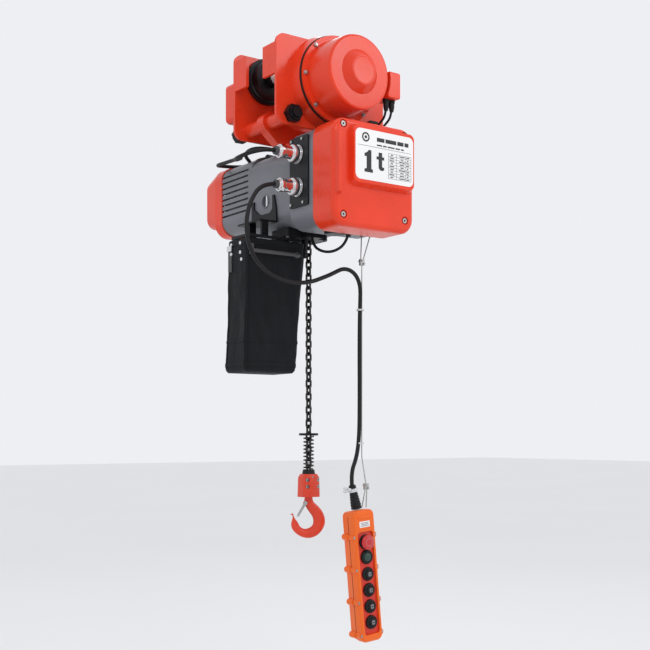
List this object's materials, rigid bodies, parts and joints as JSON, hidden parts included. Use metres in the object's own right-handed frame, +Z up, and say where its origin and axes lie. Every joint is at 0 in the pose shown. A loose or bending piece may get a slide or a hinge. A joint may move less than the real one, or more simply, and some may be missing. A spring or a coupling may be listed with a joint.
{
  "type": "electric chain hoist",
  "caption": "Electric chain hoist hanging from a motor trolley with flanged wheels, with a chain bag, swivel hook on a sprung buffer and a cabled pendant control.",
  "frame": {"origin": "midway between the trolley wheels at the level their treads roll on", "axes": "+X along the beam, -Y towards the trolley motor and electric cover, +Z up"},
  "size_m": [0.4944, 0.7278, 1.6962],
  "materials": {
    "orange_paint": "satin",
    "wheel_steel": "satin",
    "steel": "satin",
    "black_steel": "satin",
    "black_rubber": "matte",
    "grey_paint": "satin",
    "label": "satin",
    "black_plastic": "matte",
    "chrome": "polished",
    "chain_steel": "satin",
    "fabric": "matte",
    "hook_paint": "satin",
    "orange_plastic": "satin",
    "red_plastic": "gloss",
    "green_plastic": "satin"
  },
  "bodies": {
    "hoist": {"front_side_plate": "orange_paint", "back_side_plate": "orange_paint", "counterweight": "orange_paint", "wheel_axles": "steel", "suspension_shafts": "black_steel", "spacer_tubes": "orange_paint", "hanger": "orange_paint", "trolley_gear_case": "orange_paint", "trolley_motor_housing": "orange_paint", "trolley_terminal_box": "orange_paint", "trolley_cables": "black_rubber", "control_housing": "grey_paint", "electric_cover": "orange_paint", "label_plate": "label", "case_screws": "steel", "contactors": "black_plastic", "connector_plate": "black_plastic", "supply_connector": "chrome", "pendant_connector": "chrome", "gear_body": "grey_paint", "motor_housing": "grey_paint", "stator": "steel", "fan_cover": "orange_paint", "chain_guide": "black_plastic", "slack_chain": "chain_steel", "bag_bracket": "black_steel", "chain_bag": "fabric", "load_chain": "chain_steel", "pendant_back": "orange_plastic", "pendant_front": "orange_plastic", "cable_boot": "black_rubber", "support_rope": "steel", "pendant_cable": "black_rubber", "supply_cable": "black_rubber", "supply_coil": "black_rubber", "supply_plug": "black_plastic", "limit_cable": "black_rubber"},
    "wheel_front_left": {"wheel_front_left": "wheel_steel"},
    "wheel_front_right": {"wheel_front_right": "wheel_steel"},
    "wheel_back_left": {"wheel_back_left": "wheel_steel"},
    "wheel_back_right": {"wheel_back_right": "wheel_steel"},
    "trolley_pinion": {"trolley_pinion": "steel"},
    "trolley_rotor": {"trolley_rotor": "steel"},
    "motor_rotor": {"motor_rotor": "steel"},
    "lift_wheel": {"lift_wheel": "steel"},
    "hook_block": {"hook_chain": "chain_steel", "limit_plate": "black_steel", "buffer_spring": "steel", "rubber_buffer": "black_rubber", "hook_block_front": "hook_paint", "hook_block_back": "hook_paint", "block_bolts": "steel"},
    "hook": {"hook": "hook_paint"},
    "latch": {"latch": "steel"},
    "stop_button": {"stop_button": "red_plastic"},
    "start_button": {"start_button": "green_plastic"},
    "up_button": {"up_button": "black_rubber"},
    "down_button": {"down_button": "black_rubber"},
    "left_button": {"left_button": "black_rubber"},
    "right_button": {"right_button": "black_rubber"}
  },
  "joints": [
    {"name": "trolley_motor_turn", "type": "hinge", "parent": "hoist", "child": "trolley_rotor", "pos_m": [-0.01, -0.2, 0.00805], "axis": [0, 1, 0], "continuous": true},
    {"name": "trolley_pinion_turn", "type": "hinge", "parent": "hoist", "child": "trolley_pinion", "pos_m": [0, -0.11, 0.055], "axis": [0, 1, 0], "continuous": true},
    {"name": "wheel_front_left_turn", "type": "hinge", "parent": "hoist", "child": "wheel_front_left", "pos_m": [-0.084, -0.08, 0.055], "axis": [0, 1, 0], "continuous": true},
    {"name": "wheel_front_right_turn", "type": "hinge", "parent": "hoist", "child": "wheel_front_right", "pos_m": [0.084, -0.08, 0.055], "axis": [0, 1, 0], "continuous": true},
    {"name": "wheel_back_left_turn", "type": "hinge", "parent": "hoist", "child": "wheel_back_left", "pos_m": [-0.084, 0.08, 0.055], "axis": [0, 1, 0], "continuous": true},
    {"name": "wheel_back_right_turn", "type": "hinge", "parent": "hoist", "child": "wheel_back_right", "pos_m": [0.084, 0.08, 0.055], "axis": [0, 1, 0], "continuous": true},
    {"name": "motor_turn", "type": "hinge", "parent": "hoist", "child": "motor_rotor", "pos_m": [0, 0.25, -0.259], "axis": [0, -1, 0], "range_deg": [0, 37422]},
    {"name": "lift_wheel_turn", "type": "hinge", "parent": "hoist", "child": "lift_wheel", "pos_m": [-0.03108, 0, -0.29], "axis": [0, -1, 0], "range_deg": [0, 901]},
    {"name": "lift", "type": "slide", "parent": "hoist", "child": "hook_block", "axis": [0, 0, 1], "range_m": [0, 0.49], "deforming": ["load_chain"]},
    {"name": "hook_swivel", "type": "hinge", "parent": "hook_block", "child": "hook", "pos_m": [0, 0, -1.14], "axis": [0, 0, 1], "continuous": true},
    {"name": "latch_open", "type": "hinge", "parent": "hook", "child": "latch", "pos_m": [-0.00728, 0.00529, -1.171], "axis": [0.5879, 0.8089, 0], "range_deg": [-32, 0], "stiffness_Nm_per_rad": 0.02},
    {"name": "stop_button_press", "type": "slide", "parent": "hoist", "child": "stop_button", "axis": [0, 1, 0], "range_m": [0, 0.004], "stiffness_N_per_m": 300},
    {"name": "start_button_press", "type": "slide", "parent": "hoist", "child": "start_button", "axis": [0, 1, 0], "range_m": [0, 0.004], "stiffness_N_per_m": 300},
    {"name": "up_button_press", "type": "slide", "parent": "hoist", "child": "up_button", "axis": [0, 1, 0], "range_m": [0, 0.004], "stiffness_N_per_m": 300},
    {"name": "down_button_press", "type": "slide", "parent": "hoist", "child": "down_button", "axis": [0, 1, 0], "range_m": [0, 0.004], "stiffness_N_per_m": 300},
    {"name": "left_button_press", "type": "slide", "parent": "hoist", "child": "left_button", "axis": [0, 1, 0], "range_m": [0, 0.004], "stiffness_N_per_m": 300},
    {"name": "right_button_press", "type": "slide", "parent": "hoist", "child": "right_button", "axis": [0, 1, 0], "range_m": [0, 0.004], "stiffness_N_per_m": 300}
  ],
  "couplings": [
    {"joint": "trolley_pinion_turn", "follows": "trolley_motor_turn", "ratio": -0.28},
    {"joint": "wheel_front_left_turn", "follows": "trolley_motor_turn", "ratio": 0.093333},
    {"joint": "wheel_front_right_turn", "follows": "trolley_motor_turn", "ratio": 0.093333},
    {"joint": "lift_wheel_turn", "follows": "motor_turn", "ratio": 0.024039},
    {"joint": "lift", "follows": "motor_turn", "m_per_rad": 0.00074715}
  ]
}
